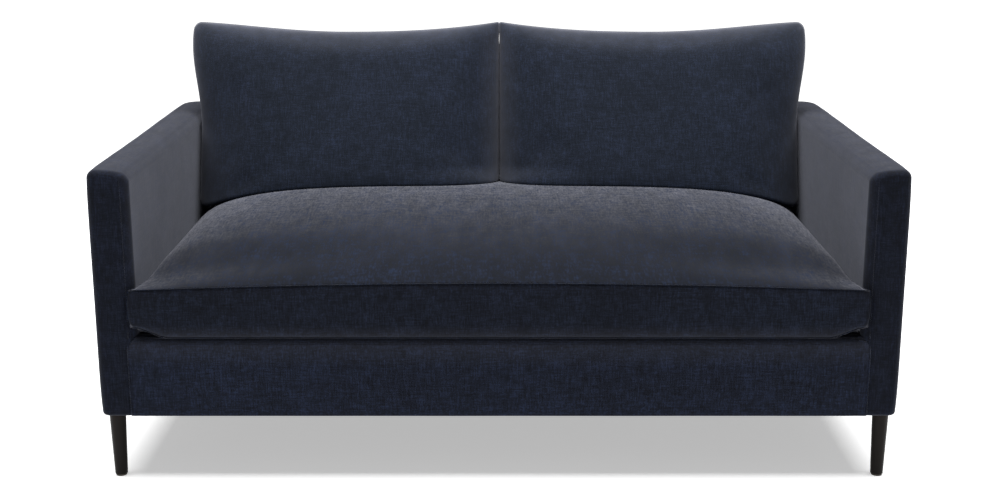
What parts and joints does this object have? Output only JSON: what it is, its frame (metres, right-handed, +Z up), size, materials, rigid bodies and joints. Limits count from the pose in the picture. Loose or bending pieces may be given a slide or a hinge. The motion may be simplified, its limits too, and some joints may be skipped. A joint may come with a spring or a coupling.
{
  "type": "two seat sofa",
  "caption": "Compact upholstered sofa with slim padded arms, one loose bench seat cushion, two loose back cushions and short round tapered wooden legs.",
  "frame": {"origin": "on the floor, under the middle of the sofa's width and depth", "axes": "+X to the right for someone facing the sofa's front; +Y to its back, so the front faces -Y; +Z up"},
  "size_m": [1.65, 0.965, 0.88],
  "materials": {
    "backing_board": "matte",
    "deck_cloth": "matte",
    "dust_cloth": "matte",
    "fibre_wadding": "matte",
    "foam": "matte",
    "frame_timber": "matte",
    "glide_felt": "matte",
    "navy_chenille": "matte",
    "plated_steel": "satin",
    "spring_steel": "satin",
    "turned_leg": "satin",
    "webbing": "matte"
  },
  "bodies": {
    "frame": {"arm_cover_left": "navy_chenille", "arm_cover_right": "navy_chenille", "arm_front_post_left": "frame_timber", "arm_front_post_right": "frame_timber", "arm_padding_left": "foam", "arm_padding_right": "foam", "arm_rear_post_left": "frame_timber", "arm_rear_post_right": "frame_timber", "arm_top_rail_left": "frame_timber", "arm_top_rail_right": "frame_timber", "back_board": "backing_board", "back_centre_stile": "frame_timber", "back_padding": "foam", "back_post_left": "frame_timber", "back_post_right": "frame_timber", "back_side_cover_left": "navy_chenille", "back_side_cover_right": "navy_chenille", "back_spring_rail": "frame_timber", "back_stile_foot": "frame_timber", "back_tack_rail": "frame_timber", "back_top_padding": "foam", "back_top_rail": "frame_timber", "back_webbing": "webbing", "centre_stretcher": "frame_timber", "corner_block_front_left": "frame_timber", "corner_block_front_right": "frame_timber", "corner_block_rear_left": "frame_timber", "corner_block_rear_right": "frame_timber", "deck_cover": "deck_cloth", "deck_pad": "fibre_wadding", "dust_cover": "dust_cloth", "frame_bolts": "plated_steel", "front_cover": "navy_chenille", "front_padding": "foam", "front_rail": "frame_timber", "hanger_bolts": "plated_steel", "inside_back_cover": "navy_chenille", "leg_front_left": "turned_leg", "leg_front_right": "turned_leg", "leg_glide_front_left": "glide_felt", "leg_glide_front_right": "glide_felt", "leg_glide_rear_left": "glide_felt", "leg_glide_rear_right": "glide_felt", "leg_inserts": "plated_steel", "leg_rear_left": "turned_leg", "leg_rear_right": "turned_leg", "outside_back_cover": "navy_chenille", "rear_bottom_rail": "frame_timber", "seat_springs_left": "spring_steel", "seat_springs_right": "spring_steel", "side_rail_left": "frame_timber", "side_rail_right": "frame_timber", "spring_clips": "spring_steel"},
    "seat_cushion": {"seat_cushion_cover": "navy_chenille", "seat_cushion_foam": "foam", "seat_cushion_wrap": "fibre_wadding"},
    "back_cushion_left": {"back_cushion_cover_left": "navy_chenille", "back_cushion_filling_left": "fibre_wadding"},
    "back_cushion_right": {"back_cushion_cover_right": "navy_chenille", "back_cushion_filling_right": "fibre_wadding"}
  },
  "joints": [
    {"name": "seat_cushion_out", "type": "slide", "parent": "frame", "child": "seat_cushion", "axis": [0, -1, 0], "range_m": [0, 0.88]},
    {"name": "back_cushion_left_lift", "type": "slide", "parent": "frame", "child": "back_cushion_left", "axis": [0, 0, 1], "range_m": [0, 0.45]},
    {"name": "back_cushion_right_lift", "type": "slide", "parent": "frame", "child": "back_cushion_right", "axis": [0, 0, 1], "range_m": [0, 0.45]}
  ]
}
